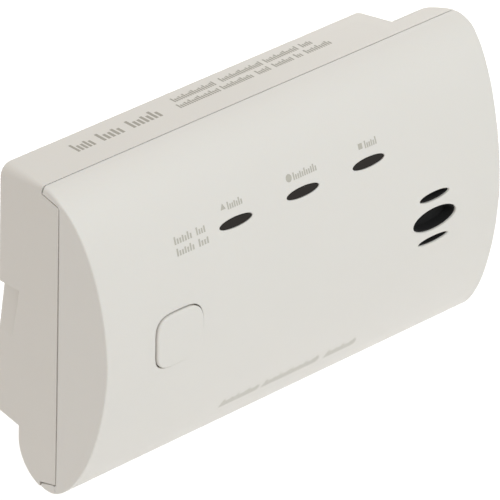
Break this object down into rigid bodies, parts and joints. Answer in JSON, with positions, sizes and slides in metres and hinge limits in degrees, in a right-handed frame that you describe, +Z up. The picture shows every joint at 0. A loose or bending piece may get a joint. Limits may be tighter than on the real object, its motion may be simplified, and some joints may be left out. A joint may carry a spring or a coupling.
{
  "type": "carbon monoxide alarm",
  "caption": "Wall-hung battery carbon monoxide alarm with a curved front, status windows, sounder vent, sprung test button and a hinged battery door at the back.",
  "frame": {"origin": "the middle of the flat back face, where the alarm meets the wall, level with the middle of the curved front", "axes": "+X to the right seen from the front (the long way), +Y out of the back towards the wall, +Z up; the front faces -Y"},
  "size_m": [0.1142, 0.0294, 0.068],
  "materials": {
    "cover_plastic": "satin moulded",
    "housing_plastic": "satin moulded",
    "button_plastic": "satin moulded",
    "smoked_window": "gloss, smoked",
    "board_green": "solder mask",
    "black_plastic": "matte",
    "chip_black": "matte",
    "led_red": "gloss",
    "led_green": "gloss",
    "led_amber": "gloss",
    "ferrite": "matte",
    "capacitor_sleeve": "gloss sleeve",
    "chip_tan": "ceramic",
    "sensor_can": "drawn can",
    "cap_white": "matte",
    "brass_disc": "rolled",
    "ceramic_white": "fired",
    "foam_grey": "foam",
    "mesh_black": "woven mesh",
    "nickel_plate": "nickel plated",
    "battery_sleeve": "printed sleeve",
    "screw_steel": "zinc plated",
    "label_paper": "printed film"
  },
  "bodies": {
    "housing": {"front_cover": "cover_plastic", "rear_housing": "housing_plastic", "circuit_board": "board_green", "lens_left": "smoked_window", "lens_middle": "smoked_window", "lens_right": "smoked_window", "led_left": "led_red", "led_middle": "led_green", "led_right": "led_amber", "switch_body": "black_plastic", "microcontroller": "chip_black", "horn_driver": "chip_black", "boost_inductor": "ferrite", "electrolytic_capacitors": "capacitor_sleeve", "chip_parts": "chip_tan", "co_sensor": "sensor_can", "sensor_filter_cap": "cap_white", "horn_cup": "black_plastic", "horn_diaphragm": "brass_disc", "piezo_ceramic": "ceramic_white", "horn_back": "black_plastic", "horn_gasket": "foam_grey", "dust_mesh": "mesh_black", "horn_contacts": "nickel_plate", "battery_lower": "battery_sleeve", "battery_upper": "battery_sleeve", "contact_springs": "nickel_plate", "contact_plates": "nickel_plate", "case_screws": "screw_steel", "board_screws": "screw_steel", "rear_label": "label_paper"},
    "battery_door": {"battery_door": "housing_plastic"},
    "test_button": {"test_button": "button_plastic"},
    "switch_plunger": {"switch_plunger": "black_plastic"}
  },
  "joints": [
    {"name": "battery_door_hinge", "type": "hinge", "parent": "housing", "child": "battery_door", "pos_m": [-0.0032, -0.0019, 0.0035], "axis": [0, 0, -1], "range_deg": [0, 90]},
    {"name": "test_button_press", "type": "slide", "parent": "housing", "child": "test_button", "axis": [0, 1, 0], "range_m": [0, 0.0008], "stiffness_N_per_m": 900, "springref_m": -0.001},
    {"name": "switch_plunger_press", "type": "slide", "parent": "housing", "child": "switch_plunger", "axis": [0, 1, 0], "range_m": [0, 0.0008]}
  ],
  "couplings": [
    {"joint": "switch_plunger_press", "follows": "test_button_press", "ratio": 1}
  ]
}
